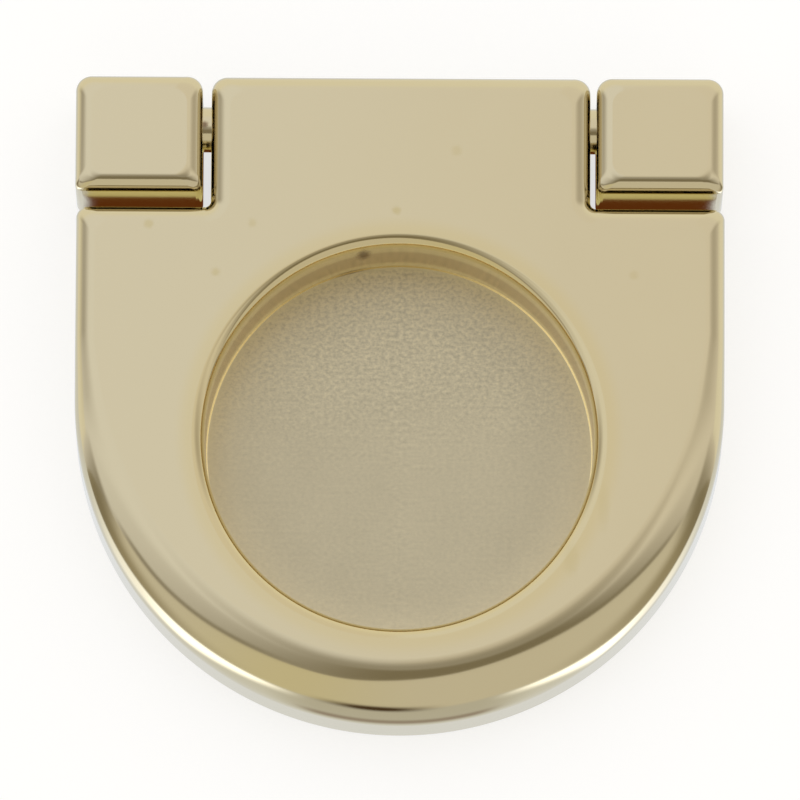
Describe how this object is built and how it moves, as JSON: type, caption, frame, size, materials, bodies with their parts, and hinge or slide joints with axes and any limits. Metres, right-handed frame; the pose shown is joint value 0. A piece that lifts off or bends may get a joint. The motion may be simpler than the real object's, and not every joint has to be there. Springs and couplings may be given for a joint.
{
  "type": "recessed flap pull",
  "caption": "Pull for a cabinet door or drawer: a D-shaped flap with a round finger recess, hinged between corner blocks.",
  "frame": {"origin": "middle of the closed pull's outline, in the plane of its back", "axes": "+Z out of the pull's face, +Y towards its hinged end, +X to the right seen from the front"},
  "size_m": [0.0501, 0.0504, 0.008],
  "materials": {
    "polished_plating": "polished pale-gold plating on a zinc casting",
    "satin_plate": "satin, with a directional grain and fine specks",
    "pin_metal": "polished, plated as the casting"
  },
  "bodies": {
    "mount": {"left_hinge_block": "polished_plating", "right_hinge_block": "polished_plating", "hinge_pin": "pin_metal"},
    "swing": {"flap": "polished_plating", "recess_disc": "satin_plate"}
  },
  "joints": [
    {"name": "flap_hinge", "type": "hinge", "parent": "mount", "child": "swing", "pos_m": [0, 0.0216, 0.0044], "axis": [-1, 0, 0], "range_deg": [0, 90]}
  ]
}
